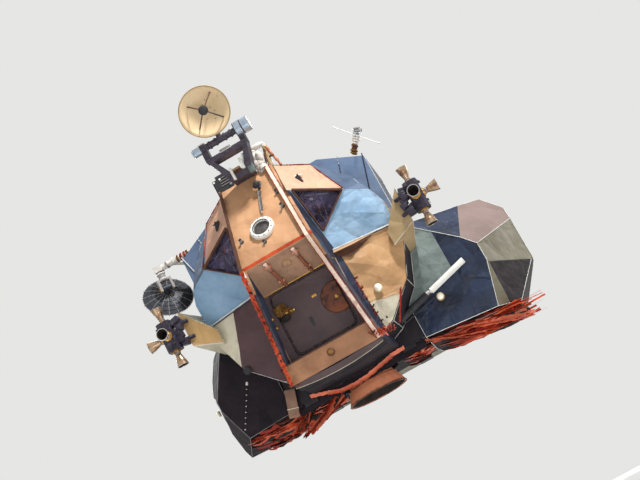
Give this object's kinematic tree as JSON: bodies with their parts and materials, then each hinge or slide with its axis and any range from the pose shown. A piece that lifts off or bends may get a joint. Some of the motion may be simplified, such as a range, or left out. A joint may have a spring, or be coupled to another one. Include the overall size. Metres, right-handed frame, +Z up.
{
  "type": "lunar module ascent stage",
  "caption": "Crewed lunar ascent stage with canted window panels, hatches, tank bays, thruster quads, engine bell and steerable radar and antenna dishes.",
  "frame": {"origin": "centre of the plane of the four interstage fittings, under the middle section", "axes": "+Z up along the docking tunnel and engine axis, -Y out of the front face, +X to port"},
  "size_m": [4.603, 4.3184, 3.8837],
  "materials": {
    "dark_panel": "dark blue-grey anodised thermal panel, crumpled",
    "tan_panel": "tan coated thermal panel, crumpled",
    "shadow_tan": "grey-tan coated thermal panel",
    "pale_blue_panel": "pale blue anodised thermal panel",
    "grey_metal": "satin grey metal",
    "bare_metal": "bare metal",
    "dark_metal": "dark grey metal",
    "white_metal": "white painted metal",
    "copper_metal": "copper-coloured metal",
    "brass_metal": "gold-coloured metal",
    "gold_film": "gold and white film wrap",
    "orange_film": "torn orange film",
    "dish_white": "cream painted dish",
    "window_glass": "clear pane",
    "lamp_glass": "dark lens"
  },
  "bodies": {
    "stage": {"cabin_barrel": "dark_panel", "chin_panel": "tan_panel", "hatch_surround": "shadow_tan", "nose_panel": "tan_panel", "window_panels": "pale_blue_panel", "cheek_panels": "tan_panel", "cabin_floor": "grey_metal", "instrument_panel": "dark_metal", "midsection_deck": "dark_panel", "midsection_walls": "dark_panel", "midsection_floor": "dark_panel", "forward_bulkhead": "dark_panel", "aft_bulkhead": "dark_panel", "aft_bay": "dark_panel", "aft_equipment": "grey_metal", "port_tank_bay": "dark_panel", "starboard_tank_bay": "dark_panel", "docking_tunnel": "grey_metal", "docking_target": "white_metal", "overhead_hinges": "grey_metal", "engine_bell": "copper_metal", "engine_block": "grey_metal", "interstage_fittings": "grey_metal", "thruster_housings": "dark_metal", "thruster_jets": "bare_metal", "thruster_fairings": "tan_panel", "thruster_arms": "grey_metal", "hatch_hinges": "grey_metal", "window_panes": "window_glass", "face_rails": "white_metal", "tracking_light": "white_metal", "tracking_light_lens": "lamp_glass", "radar_pedestal": "bare_metal", "radar_box": "dark_metal", "radar_bracket": "white_metal", "recess_pipes": "copper_metal", "steerable_boom": "gold_film", "whip_antennas": "gold_film", "lamps": "white_metal", "port_brace": "bare_metal", "belly_skirt": "orange_film"},
    "forward_hatch": {"forward_hatch": "shadow_tan", "hatch_valve": "brass_metal", "hatch_vent_cover": "copper_metal"},
    "overhead_hatch": {"overhead_hatch": "grey_metal"},
    "radar_shaft": {"radar_shaft": "bare_metal"},
    "radar_dish": {"radar_dish": "dish_white", "radar_feed": "dark_metal"},
    "steerable_head": {"steerable_head": "dark_metal"},
    "steerable_dish": {"steerable_dish": "dark_metal"}
  },
  "joints": [
    {"name": "forward_hatch_hinge", "type": "hinge", "parent": "stage", "child": "forward_hatch", "pos_m": [-0.42164, -1.69164, 0.7874], "axis": [0, 0, 1], "range_deg": [0, 90]},
    {"name": "overhead_hatch_hinge", "type": "hinge", "parent": "stage", "child": "overhead_hatch", "pos_m": [-0.4572, 0, 2.60985], "axis": [0, 1, 0], "range_deg": [0, 90]},
    {"name": "radar_shaft_turn", "type": "hinge", "parent": "stage", "child": "radar_shaft", "pos_m": [0, -1.9812, 3.0988], "axis": [1, 0, 0], "range_deg": [-50, 40]},
    {"name": "radar_trunnion_turn", "type": "hinge", "parent": "radar_shaft", "child": "radar_dish", "pos_m": [0, -2.07819, 3.44619], "axis": [0, -0.2689, 0.9632], "range_deg": [-35, 35]},
    {"name": "steerable_azimuth", "type": "hinge", "parent": "stage", "child": "steerable_head", "pos_m": [-1.7018, -0.6096, 2.48158], "axis": [0, 0, 1], "range_deg": [-35, 155]},
    {"name": "steerable_elevation", "type": "hinge", "parent": "steerable_head", "child": "steerable_dish", "pos_m": [-1.7018, -0.6096, 2.2606], "axis": [0.866, 0.5, 0], "range_deg": [-60, 30]}
  ]
}
